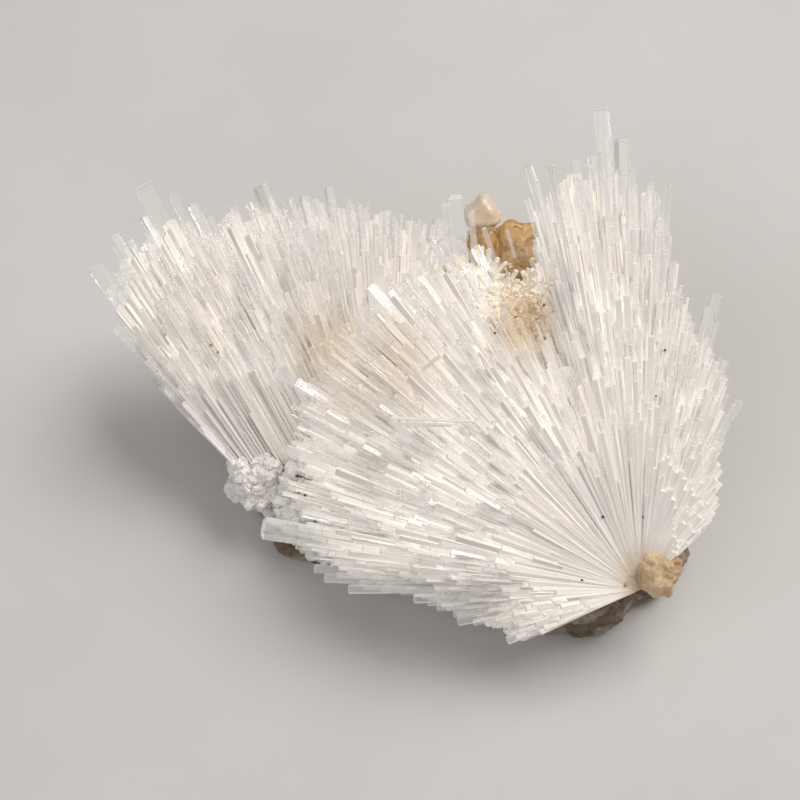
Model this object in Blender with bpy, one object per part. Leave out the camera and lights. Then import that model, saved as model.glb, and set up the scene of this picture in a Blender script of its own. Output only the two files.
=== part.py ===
"""Scolecite specimen: two sprays of needle crystals on a rock matrix, with a few guest crystals.

The specimen lies on the flat underside of its matrix, with +Z up and its origin in the middle of
its box on that plane. The driving dimensions are in millimetres and degrees, and the solids are
made in metres. Spots on the crystals are given on the leaning face that the sprays turn to the
viewer: right along it, up it, and out of it, from the root of the right spray.
"""

import math
import random

import bmesh
import bpy
from mathutils import Euler, Matrix, Vector, noise
from mathutils.bvhtree import BVHTree

MM = 0.001

# Clear space between touching pieces
GAP = 0.3 * MM

# The leaning face, and where the root of the right spray stands from the origin
FACE_SLOPE = math.radians(30)
RIGHT_ROOT = Vector((34.1, -29.6, 14.0)) * MM
FACE_RIGHT = Vector((1, 0, 0))
FACE_UP = Vector((0, math.cos(FACE_SLOPE), math.sin(FACE_SLOPE)))
FACE_OUT = Vector((0, -math.sin(FACE_SLOPE), math.cos(FACE_SLOPE)))

# Sprays. A row is one crystal direction across the spray's body: the root's place along the
# face, the angle from the face's right, and the body's length. Front and back are the angles
# that the body opens out of the face and into it, with the share of the length left there.
# A layer is a depth in the body and how many crystals stand out of it there. A tip is one of
# the long crystals that make the outline: its angle, length and width.
RIGHT_SPRAY = {
    "rows": [
        (0, 44, 15),
        (0, 52, 18),
        (0, 62, 25),
        (0, 70, 36),
        (0, 78, 41),
        (0, 86, 56),
        (0, 94, 61),
        (0, 103, 60),
        (0, 107, 50),
        (0, 110, 37),
        (0, 113, 37),
        (0, 116, 50),
        (0, 126, 56),
        (0, 140, 56),
        (0, 150, 55),
        (0, 164, 51),
        (0, 174, 46),
        (0, 182, 34),
        (0, 192, 26),
        (0, 204, 17),
    ],
    "root_up": 0,
    "root_out": 0,
    "lean_back": 6,
    "front": 16,
    "back": -18,
    "front_share": 0.42,
    "back_share": 0.62,
    "columns": 36,
    "rings": 5,
    "layers": [(-0.85, 14), (-0.4, 20), (0.1, 30), (0.4, 28), (0.7, 24), (0.93, 16)],
    "seed": 3,
    "tips": [
        (62, 33.1, 1.4),
        (69, 38.2, 1.5),
        (75, 47.4, 1.6),
        (85.8, 63.0, 1.3),
        (88.2, 62.5, 1.8),
        (91.9, 70.5, 2.1),
        (94.5, 74.8, 2.3),
        (98.4, 67.1, 2.0),
        (101.9, 67.0, 1.8),
        (104.3, 68.4, 1.7),
        (115.4, 59.1, 1.8),
        (119.4, 62.7, 1.8),
        (131.3, 63.0, 1.8),
        (139.8, 61.4, 1.8),
        (148.9, 66.2, 2.0),
        (159, 55.4, 1.8),
        (166, 58.2, 1.9),
        (170.6, 59.1, 2.8),
        (176.1, 50.4, 1.8),
        (185, 36.2, 1.6),
        (192, 27.9, 1.6),
        (200.9, 22.0, 1.6),
    ],
}
LEFT_SPRAY = {
    "rows": [
        (-57.0, 138, 24),
        (-56.6, 132, 34),
        (-56.1, 125, 41),
        (-52.4, 121, 45),
        (-47.7, 118.5, 46),
        (-43.9, 117, 46),
        (-40.0, 114, 47),
        (-39.6, 109, 46),
        (-39.3, 103, 45),
        (-39.0, 97, 44),
        (-38.7, 91, 42),
        (-38.2, 86, 41),
        (-37.3, 80, 40),
    ],
    "root_up": 10.8,
    "root_out": -16,
    "lean_back": 0,
    "front": 13,
    "back": -18,
    "front_share": 0.6,
    "back_share": 0.6,
    "columns": 28,
    "rings": 5,
    "layers": [(-0.85, 10), (-0.4, 14), (0.1, 26), (0.5, 25), (0.93, 19)],
    "seed": 5,
    "tips": [
        (133, 30.0, 1.8),
        (131.9, 40.3, 1.8),
        (125.1, 47.6, 2.6),
        (121.1, 51.8, 1.8),
        (118.5, 58.2, 3.2),
        (115.4, 54.5, 2.0),
        (111.3, 53.4, 2.8),
        (103.1, 50.8, 1.8),
        (99.9, 50.0, 1.7),
        (94.6, 48.2, 1.7),
        (90.4, 47.3, 1.7),
        (86, 46.6, 1.7),
        (82, 46.4, 1.7),
    ],
}

# How the length falls off from the middle of a spray's body to its front and back
FALL_OFF = 1.5
# Every second column of a body stands out by this share of its depth, like bundled needles
FLUTE = 0.06

# Single crystals: width, thickness as a share of it, and the low pyramid at the end
CRYSTAL_WIDTH = (1.2, 2.1)
CRYSTAL_THICKNESS = (0.65, 0.95)
END_HEIGHT = 0.4
# They start inside the body and end outside it, both as shares of its length
CRYSTAL_START = (0.55, 0.7)
CRYSTAL_END = (1.04, 1.16)
TIP_START = 0.7
TIP_THICKNESS = 0.8
TIP_DEPTH = 0.08
# They wander this far from their even places across, and from their layer
SIDE_WANDER = 0.3
LAYER_WANDER = 0.1
DEEPEST_LAYER = 0.93

# A crystal is kept where it clears its neighbours by its half diagonal, tested at these steps
HALF_DIAGONAL = 0.7
CHECK_STEP = 0.5 * MM
LOOK = Vector((0.31, 0.52, 0.79)).normalized()
STEP_PAST = 0.001 * MM

# The room that a spray's body takes out of the rock: a little wider, longer and lower
ROOM_SWELL = 0.2 * MM
ROOM_WIDER = 0.09
ROOM_LONGER = 1.015
ROOM_LOWER = 0.8 * MM

# The rock: its outline as angle and reach from its middle, which is given right of, behind and
# below the root of the right spray, with its section, and the hump that carries the guests
ROCK_OUTLINE = [
    (-30, 35.6),
    (-45, 35.2),
    (-62, 28.4),
    (-97, 19.4),
    (-144, 23.6),
    (-162, 30.6),
    (-180, 34.6),
    (-214, 30.2),
    (-246, 27.3),
    (-283, 34.5),
    (-315, 32.5),
    (-342, 34.8),
]
ROCK_MIDDLE = Vector((-27, 25, -10))
ROCK_HALF_HEIGHT = 12.5
ROCK_SQUARENESS = 3
ROCK_ROUGHNESS = ((2.3, 0.1), (6.1, 0.07))
ROCK_TOP_ROUGHNESS = 0.6
FLAT_ENOUGH = math.radians(0.5)
HUMP_PLACE = (-21.5, 49.5)
HUMP_HEIGHT = 15
HUMP_REACH = 9
HUMP_ROUGHNESS = 3

# The buff lump at the root of the right spray: middle on the face, size and roughness
NUB_MIDDLE = Vector((2.8, 2.6, -0.6))
NUB_SIZE = Vector((6.4, 7.6, 7.0))
NUB_ROUGHNESS = (4.7, 0.35)

# Guest crystals as stubby blocks: middle on the face, size, and turns about X, Y and Z
AMBER_BLOCKS = [
    ((-23.6, 52.1, -14.2), (4.7, 8.2, 6.4), (8, -6, 6)),
    ((-18.5, 52.6, -13.2), (6.4, 9.2, 7.6), (-6, 10, -8)),
]
PEACH_BLOCKS = [((-23.8, 58.6, -17.2), (4.8, 5.4, 5.2), (12, -14, 38))]
EDGE_DRUSE_BLOCKS = [
    ((-60.6, 16.6, -13.6), (4.2, 3.6, 3.4), (10, 20, 15)),
    ((-58.0, 18.2, -13.4), (3.4, 3.8, 3.2), (-15, 8, 40)),
    ((-62.2, 18.4, -14.6), (3.0, 3.2, 3.0), (22, -10, 5)),
    ((-59.8, 13.8, -14.6), (3.6, 3.0, 3.4), (5, 30, -20)),
    ((-57.2, 15.4, -15.0), (3.4, 3.4, 3.6), (30, 10, 25)),
    ((-62.6, 15.4, -15.6), (2.8, 3.0, 2.8), (-20, 15, 30)),
]
BLOCK_CHAMFER = 0.14

# Finishes: colour, roughness and opacity
NEEDLE_WHITE = ((0.92, 0.9, 0.87), 0.25, 0.85)
ROCK_BROWN = ((0.3, 0.25, 0.2), 0.9, 1.0)
ROOT_BUFF = ((0.7, 0.54, 0.36), 0.7, 1.0)
HONEY_AMBER = ((0.72, 0.42, 0.14), 0.12, 0.7)
PALE_PEACH = ((0.88, 0.72, 0.56), 0.25, 0.85)
DRUSE_WHITE = ((0.86, 0.83, 0.79), 0.5, 1.0)


def between(low, high, share):
    return low + (high - low) * share


def face_point(right, up, out):
    """World point of a spot on the leaning face, given in millimetres."""
    spot = FACE_RIGHT * right + FACE_UP * up + FACE_OUT * out
    return RIGHT_ROOT + spot * MM


def new_object(name, bm, collection, finish=None):
    """A mesh object with its own Principled material, or a hidden cutter where it has no finish."""
    bmesh.ops.recalc_face_normals(bm, faces=bm.faces)
    mesh = bpy.data.meshes.new(name)
    bm.to_mesh(mesh)
    bm.free()
    thing = bpy.data.objects.new(name, mesh)
    collection.objects.link(thing)
    if finish is None:
        thing.hide_render = True
        thing.display_type = "WIRE"
        return thing
    colour, roughness, alpha = finish
    material = bpy.data.materials.new(name)
    material.use_nodes = True
    shader = material.node_tree.nodes["Principled BSDF"]
    shader.inputs["Base Color"].default_value = (*colour, 1)
    shader.inputs["Roughness"].default_value = roughness
    shader.inputs["Metallic"].default_value = 0
    shader.inputs["Alpha"].default_value = alpha
    mesh.materials.append(material)
    return thing


def combine(target, tool, operation):
    """Apply a Boolean to the target and keep the result as the target's own mesh."""
    change = target.modifiers.new(operation.lower(), "BOOLEAN")
    change.object = tool
    change.operation = operation
    change.solver = "EXACT"
    change.use_self = operation == "UNION"
    bpy.context.view_layer.update()
    graph = bpy.context.evaluated_depsgraph_get()
    mesh = bpy.data.meshes.new_from_object(target.evaluated_get(graph))
    target.modifiers.clear()
    old = target.data
    target.data = mesh
    bpy.data.meshes.remove(old)


def grow(bm, swell):
    """Move a closed surface outwards by an even distance."""
    bm.normal_update()
    moves = [vert.normal * swell * min(vert.calc_shell_factor(), 2) for vert in bm.verts]
    for vert, move in zip(bm.verts, moves):
        vert.co += move


def tree_of(thing):
    """A search tree of an object's faces, for distances to it."""
    bm = bmesh.new()
    bm.from_mesh(thing.data)
    tree = BVHTree.FromBMesh(bm)
    bm.free()
    return tree


def row_at(spray, along):
    """Root, angle and length at a share of the way across a spray."""
    rows = spray["rows"]
    place = min(max(along, 0.0), 1.0) * (len(rows) - 1)
    first = min(int(place), len(rows) - 2)
    share = place - first
    return [between(a, b, share) for a, b in zip(rows[first], rows[first + 1])]


def spray_ray(spray, along, depth):
    """Root, unit direction and body length of a crystal.

    along runs from 0 to 1 across the spray, and depth from -1 at its back to 1 at its front.
    """
    root, angle, length = row_at(spray, along)
    side = "front" if depth > 0 else "back"
    turn = math.radians(angle)
    rise = math.radians(spray[side]) * abs(depth)
    share = between(1, spray[side + "_share"], min(abs(depth), 1) ** FALL_OFF)
    lean = math.radians(spray["lean_back"])
    up = math.sin(turn) * math.cos(rise)
    out = math.sin(rise)
    direction = (
        FACE_RIGHT * math.cos(turn) * math.cos(rise)
        + FACE_UP * (up * math.cos(lean) + out * math.sin(lean))
        + FACE_OUT * (out * math.cos(lean) - up * math.sin(lean))
    )
    start = face_point(root, spray["root_up"], spray["root_out"])
    return start, direction, length * share * MM


def spray_body(spray, swell=0.0, wider=0.0, longer=1.0, lower=0.0):
    """The solid body of a spray: straight from its roots to a faceted, domed end."""
    bm = bmesh.new()
    bmesh.ops.create_grid(bm, x_segments=spray["columns"], y_segments=spray["rings"], size=1)
    rim = [edge for edge in bm.edges if edge.is_boundary]
    sides = bmesh.ops.extrude_edge_only(bm, edges=rim)["geom"]
    roots = {item for item in sides if isinstance(item, bmesh.types.BMVert)}
    for vert in bm.verts:
        along = (vert.co.x + 1) / 2
        flute = -FLUTE if round(along * spray["columns"]) % 2 else FLUTE
        depth = vert.co.y * (1 - flute + wider)
        start, direction, length = spray_ray(spray, along, depth)
        if vert in roots:
            vert.co = start - FACE_UP * lower
        else:
            vert.co = start + direction * (length * longer)
    bmesh.ops.remove_doubles(bm, verts=list(roots), dist=0.1 * MM)
    bmesh.ops.recalc_face_normals(bm, faces=bm.faces)
    bmesh.ops.triangulate(bm, faces=bm.faces)
    grow(bm, swell)
    return bm


def spray_room(spray):
    """The body of a spray with clear space round it."""
    return spray_body(spray, ROOM_SWELL, ROOM_WIDER, ROOM_LONGER, ROOM_LOWER)


def crystal_into(bm, start, direction, near, far, width, thick, turn):
    """A slender four-sided crystal with a low pyramid at its end, from near to far along a ray."""
    made = bmesh.ops.create_cube(bm, size=1)["verts"]
    faces = {face for vert in made for face in vert.link_faces}
    top = max(faces, key=lambda face: face.calc_center_median().z)
    point = END_HEIGHT * width
    bmesh.ops.scale(bm, verts=made, vec=(width, thick, far - near - point))
    tip = bmesh.ops.poke(bm, faces=[top], offset=point)["verts"]
    middle = start + direction * ((near + far - point) / 2)
    frame = direction.to_track_quat("Z", "Y").to_matrix().to_4x4()
    place = Matrix.Translation(middle) @ frame @ Matrix.Rotation(turn, 4, "Z")
    bmesh.ops.transform(bm, matrix=place, verts=made + tip)


def even_places(spray, count):
    """Places across a spray that are evenly apart at the crystals' ends."""
    steps = 240
    tips = []
    for step in range(steps + 1):
        start, direction, length = spray_ray(spray, step / steps, 0)
        tips.append(start + direction * length)
    run = [0.0]
    for before, after in zip(tips, tips[1:]):
        run.append(run[-1] + (after - before).length)
    places = []
    step = 0
    for number in range(count):
        wanted = run[-1] * (number + 0.5) / count
        while run[step] < wanted:
            step += 1
        places.append(step / steps)
    return places


def place_of_angle(spray, angle):
    """The share of the way across a spray where its crystals point at an angle in degrees."""
    rows = spray["rows"]
    rising = rows[-1][1] > rows[0][1]
    for number, (before, after) in enumerate(zip(rows, rows[1:])):
        low, high = sorted((before[1], after[1]))
        if low <= angle <= high:
            share = (angle - low) / (high - low)
            return (number + (share if rising else 1 - share)) / (len(rows) - 1)
    raise ValueError("no crystal of the spray points at this angle")


def is_inside(tree, spot):
    """Whether a spot lies in a solid: a line out of it then leaves the solid an odd number of times."""
    crossings = 0
    here = spot
    while True:
        hit = tree.ray_cast(here, LOOK)[0]
        if hit is None:
            return crossings % 2 == 1
        crossings += 1
        here = hit + LOOK * STEP_PAST


def is_clear(start, direction, near, far, radius, others):
    """Whether a crystal keeps its distance from the solids that are already there."""
    checks = max(3, int((far - near) / CHECK_STEP))
    for tree in others:
        for check in range(checks + 1):
            spot = start + direction * between(near, far, check / checks)
            if tree.find_nearest(spot)[3] < radius + GAP:
                return False
        if is_inside(tree, start + direction * near) or is_inside(tree, start + direction * far):
            return False
    return True


def is_rooted(spot, radius, body):
    """Whether a crystal's inner end lies well inside the body it grows from."""
    return is_inside(body, spot) and body.find_nearest(spot)[3] > radius


def spray_crystals(spray, body, others):
    """The crystals that stand out of a spray's body, as one mesh of closed prisms."""
    rng = random.Random(spray["seed"])
    wanted = []
    for angle, reach, width in spray["tips"]:
        start, direction, length = spray_ray(spray, place_of_angle(spray, angle), TIP_DEPTH)
        size = (width * MM, width * TIP_THICKNESS * MM)
        wanted.append((start, direction, length * TIP_START, reach * MM, *size))
    for depth, count in spray["layers"]:
        for place in even_places(spray, count):
            along = place + rng.uniform(-SIDE_WANDER, SIDE_WANDER) / count
            layer = depth + rng.uniform(-LAYER_WANDER, LAYER_WANDER)
            layer = min(max(layer, -DEEPEST_LAYER), DEEPEST_LAYER)
            start, direction, length = spray_ray(spray, along, layer)
            width = rng.uniform(*CRYSTAL_WIDTH) * MM
            thick = width * rng.uniform(*CRYSTAL_THICKNESS)
            near = length * rng.uniform(*CRYSTAL_START)
            far = length * rng.uniform(*CRYSTAL_END)
            wanted.append((start, direction, near, far, width, thick))
    bm = bmesh.new()
    for start, direction, near, far, width, thick in wanted:
        turn = rng.uniform(0, math.pi)
        rooted = is_rooted(start + direction * near, width * 0.5, body)
        if rooted and is_clear(start, direction, near, far, width * HALF_DIAGONAL, others):
            crystal_into(bm, start, direction, near, far, width, thick, turn)
    return bm


def rock_reach(side):
    """Distance from the rock's middle to its outline at an angle in degrees."""
    turns = ROCK_OUTLINE + [(ROCK_OUTLINE[0][0] - 360, ROCK_OUTLINE[0][1])]
    while side > turns[0][0]:
        side -= 360
    for (high, near), (low, far) in zip(turns, turns[1:]):
        if side >= low:
            share = (high - side) / (high - low)
            return between(near, far, share * share * (3 - 2 * share))
    return turns[-1][1]


def rock_lump():
    """The rock: a rough low lump with steep sides, a hump at its back and a flat underside."""
    bm = bmesh.new()
    bmesh.ops.create_icosphere(bm, subdivisions=4, radius=1)
    power = ROCK_SQUARENESS
    for vert in bm.verts:
        spot = vert.co.copy()
        flat = math.hypot(spot.x, spot.y)
        square = (flat ** power + abs(spot.z) ** power) ** (-1 / power)
        rough = sum(noise.noise(spot * scale) * height for scale, height in ROCK_ROUGHNESS)
        side = math.atan2(spot.y, spot.x)
        reach = rock_reach(math.degrees(side)) * flat * square * (1 + rough * flat)
        place = ROCK_MIDDLE + Vector((reach * math.cos(side), reach * math.sin(side), 0))
        place.z += ROCK_HALF_HEIGHT * spot.z * square * (1 + ROCK_TOP_ROUGHNESS * rough)
        if spot.z > 0:
            away = math.dist(place.xy, HUMP_PLACE) / HUMP_REACH
            place.z += HUMP_HEIGHT * math.exp(-away * away) * (1 + HUMP_ROUGHNESS * rough)
        vert.co = RIGHT_ROOT + place * MM
        vert.co.z = max(vert.co.z, 0)
    bmesh.ops.dissolve_limit(bm, angle_limit=FLAT_ENOUGH, verts=bm.verts, edges=bm.edges)
    return bm


def nub_lump(swell=0.0):
    """The buff lump at the root of the right spray."""
    bm = bmesh.new()
    bmesh.ops.create_icosphere(bm, subdivisions=3, radius=0.5)
    scale, height = NUB_ROUGHNESS
    for vert in bm.verts:
        spot = vert.co * (1 + height * noise.noise(vert.co * scale))
        vert.co = face_point(*(NUB_MIDDLE + spot * NUB_SIZE))
    grow(bm, swell)
    return bm


def block_into(bm, middle, size, turns):
    """One stubby block of a guest crystal, with its edges taken off."""
    made = bmesh.ops.create_cube(bm, size=1)["verts"]
    bmesh.ops.scale(bm, verts=made, vec=size)
    edges = {edge for vert in made for edge in vert.link_edges}
    chamfer = BLOCK_CHAMFER * min(size)
    bevel = bmesh.ops.bevel(bm, geom=list(edges), offset=chamfer, segments=1, affect="EDGES")
    shape = {vert for face in bevel["faces"] for vert in face.verts}
    turn = Euler([math.radians(angle) for angle in turns]).to_matrix().to_4x4()
    lean = Matrix.Rotation(FACE_SLOPE, 4, "X")
    place = Matrix.Translation(face_point(*middle)) @ lean @ turn @ Matrix.Scale(MM, 4)
    bmesh.ops.transform(bm, matrix=place, verts=list(shape))


def blocks_grown_together(name, blocks, spare, collection, guides, finish=None):
    """Stubby blocks joined into one solid, each larger all round by a spare width."""
    made = []
    for group in (blocks[:1], blocks[1:]):
        bm = bmesh.new()
        for middle, size, turns in group:
            block_into(bm, middle, [side + 2 * spare for side in size], turns)
        made.append(bm)
    thing = new_object(name, made[0], collection, finish)
    combine(thing, new_object(name + "_rest", made[1], guides), "UNION")
    return thing


def build():
    for thing in list(bpy.data.objects):
        bpy.data.objects.remove(thing, do_unlink=True)
    parts = bpy.data.collections.new("Scolecite_specimen")
    guides = bpy.data.collections.new("Cutters")
    bpy.context.scene.collection.children.link(parts)
    bpy.context.scene.collection.children.link(guides)

    nub = new_object("root_nub", nub_lump(), parts, ROOT_BUFF)
    guests = [nub]
    rooms = [new_object("root_nub_room", nub_lump(GAP), guides)]
    groups = [
        ("amber_crystal", AMBER_BLOCKS, HONEY_AMBER),
        ("peach_crystal", PEACH_BLOCKS, PALE_PEACH),
        ("edge_druse", EDGE_DRUSE_BLOCKS, DRUSE_WHITE),
    ]
    for name, blocks, finish in groups:
        guest = blocks_grown_together(name, blocks, 0, parts, guides, finish)
        for room in rooms:
            combine(guest, room, "DIFFERENCE")
        guests.append(guest)
        rooms.append(blocks_grown_together(name + "_room", blocks, GAP / MM, guides, guides))

    right = new_object("right_spray", spray_body(RIGHT_SPRAY), parts, NEEDLE_WHITE)
    left = new_object("left_spray", spray_body(LEFT_SPRAY), parts, NEEDLE_WHITE)
    rock = new_object("matrix", rock_lump(), parts, ROCK_BROWN)
    right_room = new_object("right_spray_room", spray_room(RIGHT_SPRAY), guides)
    left_room = new_object("left_spray_room", spray_room(LEFT_SPRAY), guides)
    combine(left, right_room, "DIFFERENCE")
    combine(rock, right_room, "DIFFERENCE")
    combine(rock, left_room, "DIFFERENCE")
    for room in rooms:
        for thing in (rock, left, right):
            combine(thing, room, "DIFFERENCE")

    others = [tree_of(thing) for thing in [rock] + guests]
    made = spray_crystals(RIGHT_SPRAY, tree_of(right), others + [tree_of(left)])
    combine(right, new_object("right_spray_crystals", made, guides), "UNION")
    made = spray_crystals(LEFT_SPRAY, tree_of(left), others + [tree_of(right)])
    combine(left, new_object("left_spray_crystals", made, guides), "UNION")


build()
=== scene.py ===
import math

import bmesh
import bpy
import numpy as np
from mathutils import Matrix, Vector, noise
from mathutils.bvhtree import BVHTree


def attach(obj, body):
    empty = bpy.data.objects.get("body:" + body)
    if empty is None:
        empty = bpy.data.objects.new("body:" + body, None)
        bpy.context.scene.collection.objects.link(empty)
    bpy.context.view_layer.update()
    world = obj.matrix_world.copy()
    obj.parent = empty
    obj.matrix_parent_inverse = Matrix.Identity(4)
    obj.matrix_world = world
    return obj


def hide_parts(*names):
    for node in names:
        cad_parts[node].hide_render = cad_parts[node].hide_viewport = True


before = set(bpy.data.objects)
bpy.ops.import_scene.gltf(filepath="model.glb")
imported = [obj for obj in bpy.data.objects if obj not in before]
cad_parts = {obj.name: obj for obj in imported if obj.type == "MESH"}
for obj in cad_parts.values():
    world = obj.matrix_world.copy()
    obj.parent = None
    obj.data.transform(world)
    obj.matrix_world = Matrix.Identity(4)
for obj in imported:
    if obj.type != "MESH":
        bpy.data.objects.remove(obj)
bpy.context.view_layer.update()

MM = 0.001

# The specimen's sloping face, as the solids have it: right, up and out from the right spray's root
FACE_SLOPE = math.radians(30)
RIGHT_ROOT = Vector((34.1, -29.6, 14.0)) * MM
FACE_RIGHT = Vector((1, 0, 0))
FACE_UP = Vector((0, math.cos(FACE_SLOPE), math.sin(FACE_SLOPE)))
FACE_OUT = Vector((0, -math.sin(FACE_SLOPE), math.cos(FACE_SLOPE)))

# Rows across each spray: root along the face in mm, lean in degrees, reach in mm
# Tips that stand out of the outline: lean in degrees, reach in mm, width in mm
# Then its roots up and out of the face in mm, how far it leans back and opens to the front and
# to the back in degrees, how much of the reach is left there, how many layers of needles it has,
# its outline over its rows, and the columns and rings of its milky middle
RIGHT_SPRAY = {
    "rows": [
        (0, 44, 15), (0, 52, 18), (0, 62, 25), (0, 70, 35), (0, 78, 38),
        (0, 83, 45), (0, 87, 56), (0, 94, 61), (0, 103, 60), (0, 107, 50), (0, 110, 43),
        (0, 113, 43), (0, 116, 50), (0, 126, 56), (0, 140, 56), (0, 150, 55),
        (0, 164, 51), (0, 174, 46), (0, 182, 30), (0, 192, 22.5), (0, 204, 17),
    ],
    "tips": [
        (62, 33.1, 1.4), (69, 38.2, 1.5), (75, 47.4, 1.6), (85.8, 63, 1.3),
        (88.2, 62.5, 1.8), (91.9, 70.5, 2.1), (94.5, 74.8, 2.3), (98.4, 67.1, 2.0),
        (101.9, 67, 1.8), (104.3, 68.4, 1.7), (115.4, 59.1, 1.8), (119.4, 62.7, 1.8),
        (131.3, 63, 1.8), (139.8, 61.4, 1.8), (148.9, 66.2, 2.0), (159, 55.4, 1.8),
        (166, 58.2, 1.9), (170.6, 59.1, 2.8), (176.1, 50.4, 1.8), (185, 31.5, 1.6),
        (190, 28.6, 1.6), (200.9, 22, 1.6), (172.5, 53.5, 1.8), (177.9, 48.7, 1.8), (180, 45, 1.8),
        (182.4, 35, 1.8), (187, 29, 1.7),
    ],
    "root_up": 0, "root_out": 0, "lean_back": 6,
    "front": 16, "back": -18, "front_share": 0.42, "back_share": 0.62,
    "front_layers": 9, "back_layers": 12, "outline": 1.12,
    "body_grid": (320, 44), "seed": 11,
}
LEFT_SPRAY = {
    "rows": [
        (-55.3, 133.5, 24), (-55.3, 131, 34), (-55.3, 125, 41), (-52.4, 121, 45),
        (-47.7, 118.5, 46), (-43.9, 117, 46), (-40.0, 114, 47), (-39.6, 109, 46),
        (-39.3, 103, 45), (-39.0, 97, 44), (-38.7, 91, 42), (-38.2, 86, 41),
        (-37.3, 80, 40),
    ],
    "tips": [
        (132.5, 30, 1.8), (131.5, 40.3, 1.8), (127, 49.6, 2.6), (122.6, 53.3, 1.8),
        (119, 60, 3.0), (117.2, 55.5, 2.0), (110.2, 55.8, 2.2), (107, 52.4, 1.7),
        (104.2, 52.2, 1.8), (99.9, 52.8, 1.7), (96.2, 49.6, 1.7), (94.2, 49, 1.7),
        (90.4, 48.4, 1.7), (86, 47, 1.7), (82, 47.6, 1.7),
    ],
    "root_up": 10.8, "root_out": -16, "lean_back": 0,
    "front": 13, "back": -18, "front_share": 0.6, "back_share": 0.6,
    "front_layers": 8, "back_layers": 12, "outline": 1.165,
    "body_grid": (220, 36), "seed": 23,
}
# How slowly the reach falls off at first, towards the front and the back
FALL_OFF = 1.5

# Needles: widths in mm, of which the thin are commoner, turns in radians, all else as shares
NEEDLE_WIDTHS, THIN_COMMONER = (0.34, 0.95), 1.6
NEEDLE_FLATNESS = (0.75, 1.0)
NEEDLE_TURN = math.radians(14)
NEEDLE_SPREAD = math.radians(0.35)
SIDE_BY_SIDE = 1.06
ROOT_WIDTH = 0.3
STEPS_ACROSS = 500
STREAKS_APART = 7

# Crystal ends: height in widths, size as a share of the width, shift in widths
BLUNT_END = (0.12, (0.7, 0.75), (0.0, 0.0))
CHISEL_END = (0.2, (0.95, 0.4), (0.0, 0.1))
SLANT_END = (0.3, (0.5, 0.85), (0.2, 0.0))
TALL_END = (0.16, (0.7, 0.6), (0.05, 0.0))
STUB_END = (0.35, (0.35, 0.45), (0.0, 0.05))
LOOSE_END = (0.3, (0.6, 0.6), (0.05, 0))
EDGE_BEVEL = 0.1
SHANK_TOP = 0.99

# Where needles start, as a share of their reach: in the outer layers, and in those below them
NEEDLE_ROOTED, NEEDLE_EMERGES = 0.12, 0.74
OUTER_LAYERS = 0.9
LAYER_WANDER = 0.3

# How far needles fall short of the outline: each by itself, mostly by little, and in bundles
SHORTFALL, LITTLE_COMMONER = 0.13, 1.7
BUNDLE_SHORTFALL = 0.14
BUNDLES_ACROSS, BUNDLES_DEEP = 55, 9

# Clear needles: their share, the reach in mm where they begin, and the way to the full share
CLEAR_SHARE, CLEAR_FROM, CLEAR_RUN = 0.62, 8, 18

# Tall crystals, and how the shorter ones beside them lean in degrees, reach and measure
TALL_DEPTH, TALL_FLATNESS = (-0.12, 0.25), (0.65, 0.9)
BESIDE_LEAN, BESIDE_REACH, BESIDE_WIDTH = 1.6, (0.88, 0.97), (0.5, 0.8)
SLIM_TIP, SLIMMER = 2.05, 0.7

# Milky threads in clear crystals: their width, and their length in needles and in tall ones
MILK_WIDTH = 0.6
NEEDLE_MILK, TALL_MILK = (0.35, 0.95), (0.2, 0.5)

# The milky middles, as shares of the spray, and the ridges on their sides and ends
BODY_REACH, BODY_DEPTH = 0.9, 0.93
FINE_RIDGES, COARSE_RIDGES, COARSE_LAYERS = 260, 60, 4
SIDE_FINE, SIDE_COARSE = 0.04, 0.05
END_FINE, END_COARSE = 0.02, 0.05
GRAIN_DEEP = 0.2
# Points that are nearer than this in mm are merged
BODY_MERGE, NODE_MERGE = 0.02, 0.01

# Short crystals on the stones: how deep they are rooted in mm, and how they lean and flatten
CRUST_ROOTED = 0.3
CRUST_SPREAD = 0.4
CRUST_FLATNESS = (0.6, 1.0)
# Carpets of them: name, how many, lengths and widths in mm, and seed
TAN_CARPETS = [
    ("short_tan_crystals", 2400, (1.5, 5.5), (0.3, 0.75), 31),
    ("tan_blocks", 1500, (0.5, 1.6), (0.9, 1.8), 33),
]
MARGIN_CARPETS = [
    ("margin_blocks", 320, (0.5, 1.6), (1.0, 2.4), 43),
    ("margin_crystals", 900, (0.4, 1.3), (0.3, 0.9), 47),
]
DRUSE_CARPET = ("edge_druse_crystals", 360, (0.1, 0.7), (0.6, 1.7), 37)

# The gap below the amber crystal: middle right, up and out of the root in mm, and half its size
GAP = (-18.4, 43.2, -7.5, 4.4, 2.6)
GAP_WIDTHS, GAP_LENGTHS = (0.3, 0.75), (3.5, 7.5)
GAP_TILT, GAP_SPREAD = 0.2, 0.45
GAP_CRYSTALS, GAP_SEED = 460, 53

# The rock's hump in mm, and its left margin on the face, also in mm
HUMP = (13.0, 15.0, 24.0)
HUMP_RADIUS = 13
MARGIN_LEFT, MARGIN_RIGHT = -62.4, -44.0
MARGIN_LOW, MARGIN_RUN, MARGIN_TOP = 14.0, -0.87, 26.0
MARGIN_FLOOR = 2.5

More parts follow.
